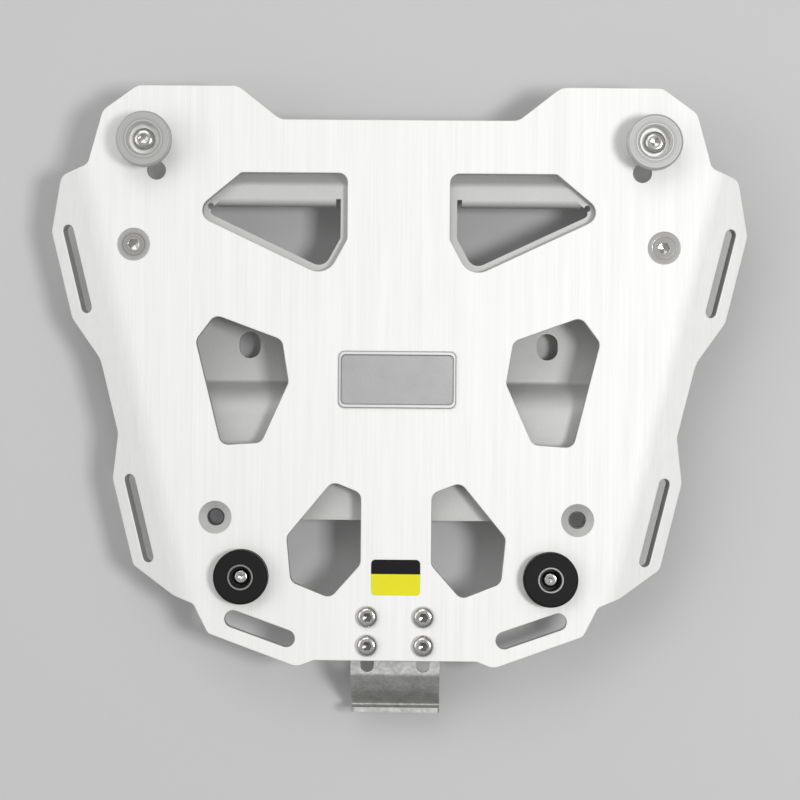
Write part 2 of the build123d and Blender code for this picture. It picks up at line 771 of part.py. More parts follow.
# Blank badge with a raised, bevelled rim
with BuildPart() as badge_plate:
    with BuildSketch(Plane.XY.offset(plate_top)):
        with Locations((0, badge_y)):
            RectangleRounded(badge_w, badge_h, badge_corner)
    extrude(amount=badge_t)
    with BuildSketch(Plane.XY.offset(plate_top + badge_t)):
        with Locations((0, badge_y)):
            RectangleRounded(badge_field_w, badge_field_h, badge_field_corner)
    extrude(amount=-badge_field_depth, mode=Mode.SUBTRACT)
    chamfer(badge_plate.edges().group_by(Axis.Z)[-1], badge_bevel)
badge_plate.part.label = "badge_plate"
export_step(badge_plate.part, "parts/badge_plate.step")

# Plain two-colour label in front of the catch screws
with BuildPart() as adjustment_label:
    with BuildSketch(Plane.XY.offset(plate_top)):
        with Locations((0, label_y)):
            RectangleRounded(label_w, label_h, label_corner)
    extrude(amount=label_t)
adjustment_label.part.label = "adjustment_label"
export_step(adjustment_label.part, "parts/adjustment_label.step")
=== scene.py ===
"""Looks of a motorcycle luggage rack: finishes, lock nuts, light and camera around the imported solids."""

import logging
import math
from dataclasses import dataclass, replace
from enum import Enum

import bmesh
import bpy
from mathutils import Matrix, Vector


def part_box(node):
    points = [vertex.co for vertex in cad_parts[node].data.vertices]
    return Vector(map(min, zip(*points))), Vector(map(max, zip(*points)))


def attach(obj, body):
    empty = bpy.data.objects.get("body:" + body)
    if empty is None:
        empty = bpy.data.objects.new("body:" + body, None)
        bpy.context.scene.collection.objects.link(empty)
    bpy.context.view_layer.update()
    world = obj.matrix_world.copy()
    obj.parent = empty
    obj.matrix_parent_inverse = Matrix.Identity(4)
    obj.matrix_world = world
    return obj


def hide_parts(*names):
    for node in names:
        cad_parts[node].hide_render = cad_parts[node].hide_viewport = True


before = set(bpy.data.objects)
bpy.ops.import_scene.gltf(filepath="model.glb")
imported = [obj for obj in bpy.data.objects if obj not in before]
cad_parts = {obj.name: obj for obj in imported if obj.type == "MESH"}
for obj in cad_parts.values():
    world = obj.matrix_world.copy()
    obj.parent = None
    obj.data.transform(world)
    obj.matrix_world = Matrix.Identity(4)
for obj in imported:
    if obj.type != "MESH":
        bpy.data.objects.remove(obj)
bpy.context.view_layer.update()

log = logging.getLogger("luggage_rack")

Axis = tuple[float, float]
Socket = bpy.types.NodeSocket
Tree = bpy.types.NodeTree

MM = 0.001
BODY = "root"
IMAGE_PX = 800
SENSOR_MM = 36.0

# Upright axes on the right-hand side of the rack, in millimetres. The left-hand side mirrors them.
CARRIER_SCREW: Axis = (125.7, 46.6)
REAR_HOLE: Axis = (85.9, -82.6)
STUD: Axis = (119.5, 95.0)
PAD: Axis = (73.1, -110.4)
CATCH_SCREWS: tuple[Axis, ...] = ((13.3, -129.1), (13.3, -142.7))

# A Mix node has several sockets of the same name, so its colours go by number.
COLOUR_A = 6
COLOUR_B = 7
COLOUR_OUT = 2


def linear(code: str) -> tuple[float, float, float, float]:
    """Turns an sRGB hex colour into linear light.

    Args:
        code: the colour as #RRGGBB.

    Returns:
        Red, green, blue and an alpha of one.
    """
    parts = [int(code[i:i + 2], 16) / 255 for i in (1, 3, 5)]
    red, green, blue = [c / 12.92 if c <= 0.04045 else ((c + 0.055) / 1.055) ** 2.4 for c in parts]
    return red, green, blue, 1.0


def per_size(size_mm: float) -> float:
    """Texture scale at which a feature has this real size in millimetres."""
    return 1 / (size_mm * MM)


def top_of(node: str) -> float:
    """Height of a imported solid's top, in metres."""
    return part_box(node)[1].z


def add_node(
    tree: Tree,
    kind: str,
    settings: dict[str | int, object] | None = None,
    links: dict[str | int, Socket] | None = None,
) -> bpy.types.Node:
    """Adds one node, sets it and links its inputs.

    Args:
        tree: the node tree that takes the node.
        kind: Blender's name for the kind of node.
        settings: values by input name or number, or by property name.
        links: output sockets by the input name or number that they feed.

    Returns:
        The new node.
    """
    node = tree.nodes.new(kind)
    for key, value in (settings or {}).items():
        if isinstance(key, str) and hasattr(node, key):
            setattr(node, key, value)
        else:
            node.inputs[key].default_value = value
    for key, socket in (links or {}).items():
        tree.links.new(socket, node.inputs[key])
    return node


def axis_distance(tree: Tree, place: Socket, axes_mm: tuple[Axis, ...]) -> Socket:
    """Distance from the nearest of some upright axes that lie on both sides of the rack.

    Args:
        tree: the material's node tree.
        place: Object coordinates, in metres.
        axes_mm: the axes on the right-hand side.

    Returns:
        A socket with the distance, in metres.
    """
    across, along, _ = add_node(tree, "ShaderNodeSeparateXYZ", links={0: place}).outputs
    outwards = add_node(tree, "ShaderNodeMath", {"operation": "ABSOLUTE"}, {0: across}).outputs[0]
    folded = add_node(tree, "ShaderNodeCombineXYZ", links={0: outwards, 1: along}).outputs[0]
    nearest = None
    for x, y in axes_mm:
        apart = {"operation": "DISTANCE", 1: (x * MM, y * MM, 0)}
        distance = add_node(tree, "ShaderNodeVectorMath", apart, {0: folded}).outputs["Value"]
        if nearest is None:
            nearest = distance
        else:
            least = {"operation": "MINIMUM"}
            nearest = add_node(tree, "ShaderNodeMath", least, {0: nearest, 1: distance}).outputs[0]
    return nearest


@dataclass(frozen=True, kw_only=True)
class Zone:
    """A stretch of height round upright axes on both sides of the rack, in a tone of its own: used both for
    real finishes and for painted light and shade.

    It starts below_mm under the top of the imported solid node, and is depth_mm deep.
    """

    tone: str
    node: str
    below_mm: float
    depth_mm: float
    radius_mm: float
    axes_mm: tuple[Axis, ...]

    def paint(self, tree: Tree, place: Socket, colour: Socket) -> Socket:
        """Puts the zone's tone over a surface's colour.

        Args:
            tree: the material's node tree.
            place: Object coordinates, in metres.
            colour: the surface's own colour.

        Returns:
            A colour socket.
        """
        height = add_node(tree, "ShaderNodeSeparateXYZ", links={0: place}).outputs["Z"]
        distance = axis_distance(tree, place, self.axes_mm)
        inside = {"operation": "LESS_THAN", 1: self.radius_mm * MM}
        near = add_node(tree, "ShaderNodeMath", inside, {0: distance}).outputs[0]
        half = self.depth_mm / 2 * MM
        middle = top_of(self.node) - self.below_mm * MM - half
        between = {"operation": "COMPARE", 1: middle, 2: half}
        deep = add_node(tree, "ShaderNodeMath", between, {0: height}).outputs[0]
        both = add_node(tree, "ShaderNodeMath", {"operation": "MULTIPLY"}, {0: near, 1: deep}).outputs[0]
        tones = {"data_type": "RGBA", COLOUR_B: linear(self.tone)}
        return add_node(tree, "ShaderNodeMix", tones, {0: both, COLOUR_A: colour}).outputs[COLOUR_OUT]


@dataclass(frozen=True, kw_only=True)
class Finish:
    """A surface: its tones, gloss and relief, with a pattern that its own kind draws."""

    name: str
    light: str
    dark: str
    metallic: float
    smooth: float
    rough: float
    relief_mm: float
    specular: float = 0.5
    zones: tuple[Zone, ...] = ()

    def pattern(self, tree: Tree, place: Socket) -> Socket:
        """Draws the surface's pattern.

        Args:
            tree: the material's node tree.
            place: Object coordinates, in metres.

        Returns:
            A socket from 0, deep and dark, to 1, high and light.
        """
        raise NotImplementedError

    def colour(self, tree: Tree, place: Socket, pattern: Socket) -> Socket:
        """Colour of the surface.

        Args:
            tree: the material's node tree.
            place: Object coordinates, in metres.
            pattern: the surface's own pattern.

        Returns:
            A colour socket between the dark and the light tone.
        """
        tones = {"data_type": "RGBA", COLOUR_A: linear(self.dark), COLOUR_B: linear(self.light)}
        return add_node(tree, "ShaderNodeMix", tones, {0: pattern}).outputs[COLOUR_OUT]

    def material(self) -> bpy.types.Material:
        """Makes the material.

        Returns:
            A node material with this finish's name.
        """
        material = bpy.data.materials.new(self.name)
        material.use_nodes = True
        tree = material.node_tree
        tree.nodes.clear()
        place = add_node(tree, "ShaderNodeTexCoord").outputs["Object"]
        pattern = self.pattern(tree, place)
        gloss = {"To Min": self.rough, "To Max": self.smooth}
        roughness = add_node(tree, "ShaderNodeMapRange", gloss, {"Value": pattern}).outputs[0]
        colour = self.colour(tree, place, pattern)
        for zone in self.zones:
            colour = zone.paint(tree, place, colour)
        relief = {"Strength": 1.0, "Distance": self.relief_mm * MM}
        normal = add_node(tree, "ShaderNodeBump", relief, {"Height": pattern}).outputs[0]
        shader = add_node(
            tree,
            "ShaderNodeBsdfPrincipled",
            {"Metallic": self.metallic, "Specular IOR Level": self.specular},
            {"Base Color": colour, "Roughness": roughness, "Normal": normal},
        )
        add_node(tree, "ShaderNodeOutputMaterial", links={"Surface": shader.outputs[0]})
        return material


@dataclass(frozen=True, kw_only=True)
class Brushed(Finish):
    """Metal drawn under an abrasive belt, with long scratches front to rear and duller cut edges."""

    edge: str
    scratch_mm: float
    band_mm: float
    run_mm: float
    scratch_share: float = 0.6
    noise_detail: float = 3.0
    noise_roughness: float = 0.6
    steep_below: float = 0.6

    def pattern(self, tree: Tree, place: Socket) -> Socket:
        """Fine scratches over broader bands, both drawn out along Y.

        Args:
            tree: the material's node tree.
            place: Object coordinates, in metres.

        Returns:
            A socket from 0 to 1.
        """
        noise = {"Scale": 1.0, "Detail": self.noise_detail, "Roughness": self.noise_roughness}
        layers = []
        for width in (self.scratch_mm, self.band_mm):
            stretch = (per_size(width), per_size(self.run_mm), per_size(width))
            drawn = add_node(tree, "ShaderNodeMapping", {"Scale": stretch}, {"Vector": place}).outputs[0]
            layers.append(add_node(tree, "ShaderNodeTexNoise", noise, {"Vector": drawn}).outputs[0])
        scratches, bands = layers
        less = {"operation": "MULTIPLY", 1: 1 - self.scratch_share}
        under = add_node(tree, "ShaderNodeMath", less, {0: bands}).outputs[0]
        both = {"operation": "MULTIPLY_ADD", 1: self.scratch_share}
        return add_node(tree, "ShaderNodeMath", both, {0: scratches, 2: under}).outputs[0]

    def colour(self, tree: Tree, place: Socket, pattern: Socket) -> Socket:
        """The brushed tones on the faces, and the cut edges' tone where the metal stands steep.

        Args:
            tree: the material's node tree.
            place: Object coordinates, in metres.
            pattern: the brushed scratches.

        Returns:
            A colour socket.
        """
        brushed = super().colour(tree, place, pattern)
        facing = add_node(tree, "ShaderNodeNewGeometry").outputs["Normal"]
        upwards = add_node(tree, "ShaderNodeSeparateXYZ", links={0: facing}).outputs["Z"]
        slope = add_node(tree, "ShaderNodeMath", {"operation": "ABSOLUTE"}, {0: upwards}).outputs[0]
        limit = {"operation": "LESS_THAN", 1: self.steep_below}
        steep = add_node(tree, "ShaderNodeMath", limit, {0: slope}).outputs[0]
        tones = {"data_type": "RGBA", COLOUR_B: linear(self.edge)}
        return add_node(tree, "ShaderNodeMix", tones, {0: steep, COLOUR_A: brushed}).outputs[COLOUR_OUT]


@dataclass(frozen=True, kw_only=True)
class Grained(Finish):
    """A surface with an even fine grain and a slight, broader mottle."""

    grain_mm: float
    mottle_mm: float
    grain_share: float = 0.65
    grain_detail: float = 2.0
    mottle_detail: float = 1.0

    def pattern(self, tree: Tree, place: Socket) -> Socket:
        """Even grain over a broad mottle.

        Args:
            tree: the material's node tree.
            place: Object coordinates, in metres.

        Returns:
            A socket from 0 to 1.
        """
        fine = {"Scale": per_size(self.grain_mm), "Detail": self.grain_detail}
        broad = {"Scale": per_size(self.mottle_mm), "Detail": self.mottle_detail}
        grain = add_node(tree, "ShaderNodeTexNoise", fine, {"Vector": place}).outputs[0]
        mottle = add_node(tree, "ShaderNodeTexNoise", broad, {"Vector": place}).outputs[0]
        less = {"operation": "MULTIPLY", 1: 1 - self.grain_share}
        under = add_node(tree, "ShaderNodeMath", less, {0: mottle}).outputs[0]
        both = {"operation": "MULTIPLY_ADD", 1: self.grain_share}
        return add_node(tree, "ShaderNodeMath", both, {0: grain, 2: under}).outputs[0]


@dataclass(frozen=True, kw_only=True)
class Turned(Finish):
    """Metal faced on a lathe, with fine grooves round an upright axis on each side of the rack."""

    axis_mm: Axis
    groove_mm: float
    groove_detail: float = 2.0
    noise_range: tuple[float, float] = (0.3, 0.7)

    def pattern(self, tree: Tree, place: Socket) -> Socket:
        """Uneven rings round the axis.

        Args:
            tree: the material's node tree.
            place: Object coordinates, in metres.

        Returns:
            A socket from 0 to 1.
        """
        rings = {"noise_dimensions": "1D", "Scale": per_size(self.groove_mm), "Detail": self.groove_detail}
        radius = axis_distance(tree, place, (self.axis_mm,))
        uneven = add_node(tree, "ShaderNodeTexNoise", rings, {"W": radius}).outputs[0]
        low, high = self.noise_range
        spread = {"From Min": low, "From Max": high}
        return add_node(tree, "ShaderNodeMapRange", spread, {"Value": uneven}).outputs[0]


@dataclass(frozen=True, kw_only=True)
class Rimmed(Grained):
    """A grained surface whose raised rim, the top rim_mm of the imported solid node, is left bright."""

    rim: str
    node: str
    rim_mm: float

    def colour(self, tree: Tree, place: Socket, pattern: Socket) -> Socket:
        """Field tones below the rim's level, and the rim's tone above it.

        Args:
            tree: the material's node tree.
            place: Object coordinates, in metres.
            pattern: the field's grain.

        Returns:
            A colour socket.
        """
        field = super().colour(tree, place, pattern)
        height = add_node(tree, "ShaderNodeSeparateXYZ", links={0: place}).outputs["Z"]
        level = {"operation": "GREATER_THAN", 1: top_of(self.node) - self.rim_mm * MM}
        raised = add_node(tree, "ShaderNodeMath", level, {0: height}).outputs[0]
        tones = {"data_type": "RGBA", COLOUR_B: linear(self.rim)}
        return add_node(tree, "ShaderNodeMix", tones, {0: raised, COLOUR_A: field}).outputs[COLOUR_OUT]


@dataclass(frozen=True, kw_only=True)
class PrintedFilm(Grained):
    """A printed film with a plain dark band, band_mm wide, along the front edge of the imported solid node."""

    band: str
    node: str
    band_mm: float
    ink_edge_mm: float

    def colour(self, tree: Tree, place: Socket, pattern: Socket) -> Socket:
        """The film's own tones, with the dark band in front of a straight line.

        Args:
            tree: the material's node tree.
            place: Object coordinates, in metres.
            pattern: the print's grain.

        Returns:
            A colour socket.
        """
        film = super().colour(tree, place, pattern)
        along = add_node(tree, "ShaderNodeSeparateXYZ", links={0: place}).outputs["Y"]
        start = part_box(self.node)[1].y - self.band_mm * MM
        edge = {"From Min": start, "From Max": start + self.ink_edge_mm * MM}
        inked = add_node(tree, "ShaderNodeMapRange", edge, {"Value": along}).outputs[0]
        tones = {"data_type": "RGBA", COLOUR_B: linear(self.band)}
        return add_node(tree, "ShaderNodeMix", tones, {0: inked, COLOUR_A: film}).outputs[COLOUR_OUT]


# Belt-brushed aluminium under a clear anodic film: a pale satin white with faint lines front to rear.
# The real scratches are under 0.1 mm wide, so they are drawn coarser here to show.
# The edges and countersinks were milled and are a little duller than the brushed faces.
PLATE_METAL = Brushed(
    name="Aluminium_brushed_clear_anodised",
    light="#F8F8F7",
    dark="#EAEAE9",
    metallic=1.0,
    smooth=0.68,
    rough=0.8,
    relief_mm=0.012,
    zones=(
        Zone(
            tone="#DCDCDA",
            node="rack_plate",
            below_mm=0.02,
            depth_mm=6.0,
            radius_mm=8.0,
            axes_mm=(REAR_HOLE, CARRIER_SCREW),
        ),
    ),
    edge="#C2C2C0",
    scratch_mm=0.6,
    band_mm=3.2,
    run_mm=75.0,
)

# Silver-grey powder coat over sheet steel: matt, with the slight orange peel of a baked film.
BRACKET_COAT = Grained(
    name="Steel_sheet_silver_powder_coated",
    light="#C8C8C6",
    dark="#B8B8B7",
    metallic=0.25,
    smooth=0.48,
    rough=0.62,
    relief_mm=0.03,
    grain_mm=0.9,
    mottle_mm=14.0,
)

# Cold-headed stainless screws, tumbled bright: sharp highlights, broken up by the dents of the tumbling.
# The dents are a few tenths of a millimetre wide, so they are drawn coarser here to show.
SCREW_STEEL = Grained(
    name="Stainless_steel_cold_headed_bright",
    light="#EEEDEA",
    dark="#9A9997",
    metallic=1.0,
    smooth=0.12,
    rough=0.24,
    relief_mm=0.05,
    grain_mm=1.1,
    mottle_mm=4.0,
)

# Countersunk stainless heads faced on a lathe: bright rings round a socket painted a duller flat tone as its
# shade.
# The tool leaves grooves about 0.1 mm apart, so they are drawn coarser here to show.
CARRIER_SCREW_STEEL = Turned(
    name="Stainless_steel_faced_M8",
    light="#FCFBF8",
    dark="#9C9B98",
    metallic=1.0,
    smooth=0.08,
    rough=0.18,
    relief_mm=0.03,
    zones=(
        # Painted shade: the hexagon socket gets a flat duller tone.
        Zone(
            tone="#B4B3B0",
            node="carrier_screws",
            below_mm=0.05,
            depth_mm=2.4,
            radius_mm=3.0,
            axes_mm=(CARRIER_SCREW,),
        ),
    ),
    axis_mm=CARRIER_SCREW,
    groove_mm=1.5,
)

# Zinc plate on turned steel: a soft grey with a faint bloom, and a dark ring painted round the tapped bore as
# painted shade.
# The painted shade starts just above the top face, so that the face has it too.
SPACER_ZINC = Grained(
    name="Steel_turned_zinc_plated",
    light="#C2C3C4",
    dark="#A6A7A8",
    metallic=1.0,
    smooth=0.34,
    rough=0.5,
    relief_mm=0.01,
    zones=(
        # Painted shade: a dark ring round the tapped bore.
        Zone(
            tone="#505050",
            node="rear_spacers",
            below_mm=-0.05,
            depth_mm=1.2,
            radius_mm=4.4,
            axes_mm=(REAR_HOLE,),
        ),
    ),
    grain_mm=0.6,
    mottle_mm=5.0,
)

# Turned and anodised aluminium: grey rings that catch the light as a soft fan.
# The cap's chamfered edge and the bore round the screw are painted lighter than its face, as painted light on
# them.
# The grooves are about 0.1 mm apart, so they are drawn coarser here to show.
STUD_METAL = Turned(
    name="Aluminium_turned_anodised",
    light="#BEBEBD",
    dark="#9C9C9C",
    metallic=1.0,
    smooth=0.52,
    rough=0.68,
    relief_mm=0.01,
    zones=(
        # Painted light on the cap's chamfered edge.
        Zone(
            tone="#D6D6D4",
            node="right_stud",
            below_mm=0.02,
            depth_mm=0.9,
            radius_mm=13.2,
            axes_mm=(STUD,),
        ),
        # Painted light in the bore round the screw.
        Zone(
            tone="#E4E4E2",
            node="right_stud",
            below_mm=0.1,
            depth_mm=4.6,
            radius_mm=7.2,
            axes_mm=(STUD,),
        ),
    ),
    axis_mm=STUD,
    groove_mm=0.55,
)

# Compression-moulded black rubber: nearly black, dull, with the fine tooth of the mould.
# The tooth is about 0.1 mm wide, so it is drawn coarser here to show.
PAD_RUBBER = Grained(
    name="Rubber_black_moulded",
    light="#141415",
    dark="#0D0D0E",
    metallic=0.0,
    smooth=0.52,
    rough=0.7,
    relief_mm=0.03,
    specular=0.22,
    grain_mm=0.5,
    mottle_mm=6.0,
)

# Turned steel cup with a bare rim: a bright ring round a well that is painted dark, as painted shade inside
# the cup.
# Its grain is drawn coarser here to show.
SLEEVE_STEEL = Rimmed(
    name="Steel_turned_bare_rim_painted_shade_well",
    light="#3C3C3C",
    dark="#2A2A2A",
    metallic=1.0,
    smooth=0.36,
    rough=0.52,
    relief_mm=0.01,
    grain_mm=0.5,
    mottle_mm=4.0,
    rim="#969694",
    node="pad_sleeves",
    rim_mm=0.4,
)

# Bead-blasted stainless sheet: a dull mid grey, speckled by the glass beads.
# The beads' dents are about 0.1 mm wide, so they are drawn coarser here to show.
CATCH_STEEL = Grained(
    name="Stainless_steel_sheet_bead_blasted",
    light="#E6E6E4",
    dark="#8A8A88",
    metallic=1.0,
    smooth=0.55,
    rough=0.7,
    relief_mm=0.16,
    grain_mm=1.6,
    mottle_mm=6.0,
)

# Pressed aluminium badge: a blasted grey field inside a rim left bright by the press.
# The field's grain is finer than 0.2 mm, so it is drawn coarser here to show.
BADGE_METAL = Rimmed(
    name="Aluminium_pressed_satin",
    light="#B0B0B0",
    dark="#989898",
    metallic=1.0,
    smooth=0.45,
    rough=0.58,
    relief_mm=0.02,
    grain_mm=0.6,
    mottle_mm=9.0,
    rim="#CECECE",
    node="badge_plate",
    rim_mm=0.4,
)

# Screen-printed vinyl film: flat yellow and black ink under a slight gloss.
# The screen's mesh is finer than 0.2 mm, so its grain is drawn coarser here to show.
LABEL_FILM = PrintedFilm(
    name="Vinyl_film_screen_printed",
    light="#E8E226",
    dark="#DED61E",
    metallic=0.0,
    smooth=0.4,
    rough=0.5,
    relief_mm=0.006,
    specular=0.2,
    grain_mm=0.5,
    mottle_mm=5.0,
    band="#080808",
    node="adjustment_label",
    band_mm=6.95,
    ink_edge_mm=0.15,
)

# Nylon ring pressed into a lock nut: milky, slightly waxy, with the faint clouding of a moulded piece.
NUT_NYLON = Grained(
    name="Nylon_ring_moulded",
    light="#DAD8CE",
    dark="#CBC9BE",
    metallic=0.0,
    smooth=0.34,
    rough=0.46,
    relief_mm=0.008,
    grain_mm=0.6,
    mottle_mm=3.0,
)


def heads(kind: str, sockets: Zone) -> Grained:
    """Bright cold-headed screws whose hexagon sockets are painted a flat tone of their own, as painted shade
    in the recess.

    Args:
        kind: which screws these are, for the finish's name.
        sockets: the painted shade in the hexagon sockets.

    Returns:
        The screws' finish.
    """
    return replace(SCREW_STEEL, name="Stainless_steel_cold_headed_" + kind, zones=(sockets,))


def dress(node: str, material: bpy.types.Material) -> None:
    """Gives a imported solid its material.

    Args:
        node: the solid's name.
        material: the material.
    """
    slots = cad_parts[node].data.materials
    slots.clear()
    slots.append(material)
    log.info("dressed %s in %s", node, material.name)


@dataclass(frozen=True, kw_only=True)
class NutSize:
    """Width of a nut across its flats, radius of its bore and width of its nylon ring."""

    flats_mm: float
    bore_mm: float
    ring_mm: float


class Thread(Enum):
    """Screw sizes, each with its lock nut."""

    M4 = NutSize(flats_mm=7.0, bore_mm=2.05, ring_mm=0.6)
    M6 = NutSize(flats_mm=10.0, bore_mm=3.05, ring_mm=0.9)
    M8 = NutSize(flats_mm=13.0, bore_mm=4.05, ring_mm=0.9)


@dataclass(frozen=True)
class Ring:
    """One ring of a nut: its radius and height, and how a hexagonal one bends at its corners."""

    radius: float
    height: float
    corner_rise: float = 0.0
    hexagonal: bool = False
    material: int = 0

    def shape(self, verts: list[bmesh.types.BMVert]) -> None:
        """Moves a loop of vertices on to the ring.

        Args:
            verts: the loop's vertices, at their own angles round the Z axis.
        """
        flat = math.pi / 3
        for vert in verts:
            angle = math.atan2(vert.co.y, vert.co.x)
            from_middle = angle % flat - flat / 2
            out = self.radius / math.cos(from_middle) if self.hexagonal else self.radius
            rise = self.corner_rise * (out - self.radius)
            vert.co = Vector((math.cos(angle) * out, math.sin(angle) * out, self.height + rise))


@dataclass
class LockNuts:
    """A set of equal nylon-ring lock nuts under the plate, each with its seat upwards."""

    node: str
    thread: Thread
    axes_mm: tuple[Axis, ...]
    collar_mm: float = 1.2
    edge_mm: float = 0.35
    land_mm: float = 0.1
    ring_sunk_mm: float = 0.25
    ring_edge_mm: float = 0.15
    ring_edge_height_mm: float = 0.25
    chamfer_deg: float = 30.0
    segments: int = 48
    merge_mm: float = 0.001

    def rings(self) -> list[Ring]:
        """Rings of the nut, from the seat's outer edge down, through the bore and back to the seat.

        Returns:
            The rings in order, each with the material of the band that ends there.
        """
        low, seat = (corner.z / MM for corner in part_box(self.node))
        half = self.thread.value.flats_mm / 2
        bore = self.thread.value.bore_mm
        insert = bore + self.thread.value.ring_mm
        collar = half - self.collar_mm / 2
        shoulder = low + self.collar_mm
        sunk = low + self.ring_sunk_mm
        slope = math.tan(math.radians(self.chamfer_deg))
        return [
            Ring(half, seat, -slope, hexagonal=True),
            Ring(half, shoulder, slope, hexagonal=True),
            Ring(half - self.land_mm, shoulder),
            Ring(collar, shoulder),
            Ring(collar, low + self.edge_mm),
            Ring(collar - self.edge_mm, low),
            Ring(insert, low),
            Ring(insert, sunk),
            Ring(bore + self.ring_edge_mm, sunk, material=1),
            Ring(bore, sunk + self.ring_edge_height_mm, material=1),
            Ring(bore, seat - self.edge_mm),
            Ring(bore + self.edge_mm, seat),
            Ring(half - self.land_mm, seat),
        ]

    def shape(self, mesh: bmesh.types.BMesh, place: Axis) -> None:
        """Draws one nut as a loop that is extruded from ring to ring and closed on itself.

        Args:
            mesh: the mesh that takes the nut.
            place: the nut's axis, in millimetres.
        """
        first, *others = self.rings()
        loop = bmesh.ops.create_circle(mesh, segments=self.segments, radius=first.radius)["verts"]
        edges = list(dict.fromkeys(edge for vert in loop for edge in vert.link_edges))
        first.shape(loop)
        placed = list(loop)
        for ring in [*others, first]:
            grown = bmesh.ops.extrude_edge_only(mesh, edges=edges)["geom"]
            for face in (item for item in grown if isinstance(item, bmesh.types.BMFace)):
                face.material_index = ring.material
            loop = [item for item in grown if isinstance(item, bmesh.types.BMVert)]
            around = dict.fromkeys(edge for vert in loop for edge in vert.link_edges)
            edges = [edge for edge in around if edge.is_boundary]
            ring.shape(loop)
            placed += loop
        bmesh.ops.translate(mesh, verts=placed, vec=(*place, 0))

    def build(self, steel: bpy.types.Material, nylon: bpy.types.Material) -> bpy.types.Object:
        """Builds the set of nuts on both sides and puts it in place of the plain ones.

        Args:
            steel: material of the nuts.
            nylon: material of their rings.

        Returns:
            The new piece.
        """
        places = [(side * x, y) for side in (1, -1) for x, y in self.axes_mm]
        mesh = bmesh.new()
        for place in places:
            self.shape(mesh, place)
        bmesh.ops.remove_doubles(mesh, verts=mesh.verts, dist=self.merge_mm)
        bmesh.ops.recalc_face_normals(mesh, faces=mesh.faces)
        bmesh.ops.scale(mesh, vec=(MM, MM, MM), verts=mesh.verts)
        data = bpy.data.meshes.new(self.node + "_turned")
        mesh.to_mesh(data)
        mesh.free()
        data.materials.append(steel)
        data.materials.append(nylon)
        piece = bpy.data.objects.new(self.node + "_turned", data)
        bpy.context.scene.collection.objects.link(piece)
        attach(piece, BODY)
        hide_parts(self.node)
        log.info("built %s: %d nuts, %d faces", piece.name, len(places), len(data.polygons))
        return piece


@dataclass
class Plate:
    """The folded plate with its blank badge and plain label."""

    metal: Finish = PLATE_METAL
    badge: Finish = BADGE_METAL
    label: Finish = LABEL_FILM

    def dress(self) -> None:
        """Dresses the plate, the badge and the label."""
        dress("rack_plate", self.metal.material())
        dress("badge_plate", self.badge.material())
        dress("adjustment_label", self.label.material())


@dataclass
class Bracket:
    """The folded bracket with the screws and spacers that hold it to the plate."""

    axes_mm: tuple[Axis, ...] = (CARRIER_SCREW,)
    coat: Finish = BRACKET_COAT
    spacers: Finish = SPACER_ZINC
    screws: Finish = CARRIER_SCREW_STEEL

    def dress(self, steel: bpy.types.Material) -> None:
        """Dresses the bracket, its spacers, screws and washers.

        Args:
            steel: material of the washers.
        """
        dress("carrier_bracket", self.coat.material())
        dress("rear_spacers", self.spacers.material())
        dress("carrier_screws", self.screws.material())
        dress("carrier_washers", steel)

    def nuts(self) -> LockNuts:
        """The two nuts under the bracket's front ears."""
        return LockNuts("carrier_nuts", Thread.M8, self.axes_mm)


@dataclass
class Studs:
    """The two mushroom studs at the front corners, with their screws."""

    axes_mm: tuple[Axis, ...] = (STUD,)
    metal: Finish = STUD_METAL
    # Painted shade: the hexagon sockets get a flat tone of their own.
    sockets: Zone = Zone(
        tone="#B8B7B5",
        node="stud_screws",
        below_mm=0.2,
        depth_mm=2.4,
        radius_mm=2.4,
        axes_mm=(STUD,),
    )

    def dress(self, steel: bpy.types.Material) -> None:
        """Dresses both studs, their screws and washers.

        Args:
            steel: material of the washers.
        """
        metal = self.metal.material()
        dress("left_stud", metal)
        dress("right_stud", metal)
        dress("stud_screws", heads("M6_stud", self.sockets).material())
        dress("stud_washers", steel)

    def nuts(self) -> LockNuts:
        """The two nuts under the studs."""
        return LockNuts("stud_nuts", Thread.M6, self.axes_mm)


@dataclass
class Pads:
    """The two rubber pads at the rear, with their sleeves and screws."""

    axes_mm: tuple[Axis, ...] = (PAD,)
    rubber: Finish = PAD_RUBBER
    sleeves: Finish = SLEEVE_STEEL
    # Painted shade: the hexagon sockets get a flat tone of their own.
    sockets: Zone = Zone(
        tone="#B8B7B5",
        node="pad_screws",
        below_mm=0.2,
        depth_mm=1.8,
        radius_mm=1.5,
        axes_mm=(PAD,),
    )

    def dress(self, steel: bpy.types.Material) -> None:
        """Dresses the pads, sleeves, screws and washers.

        Args:
            steel: material of the washers.
        """
        rubber = self.rubber.material()
        dress("left_rubber_pad", rubber)
        dress("right_rubber_pad", rubber)
        dress("pad_sleeves", self.sleeves.material())
        dress("pad_screws", heads("M4", self.sockets).material())
        dress("pad_washers", steel)

    def nuts(self) -> LockNuts:
        """The two small nuts under the pads."""
        return LockNuts("pad_nuts", Thread.M4, self.axes_mm)


@dataclass
class Catch:
    """The bent rear catch with its four screws."""

    axes_mm: tuple[Axis, ...] = CATCH_SCREWS
    sheet: Finish = CATCH_STEEL
    # Painted shade: the hexagon sockets get a flat dark tone.
    sockets: Zone = Zone(
        tone="#7A7977",
        node="catch_screws",
        below_mm=0.2,
        depth_mm=2.4,
        radius_mm=2.4,
        axes_mm=CATCH_SCREWS,
    )

    def dress(self, steel: bpy.types.Material) -> None:
        """Dresses the catch, its screws and washers.

        Args:
            steel: material of the washers.
        """
        dress("catch_plate", self.sheet.material())
        dress("catch_screws", heads("M6", self.sockets).material())
        dress("catch_washers", steel)

    def nuts(self) -> LockNuts:
        """The four nuts under the catch."""
        return LockNuts("catch_nuts", Thread.M6, self.axes_mm)


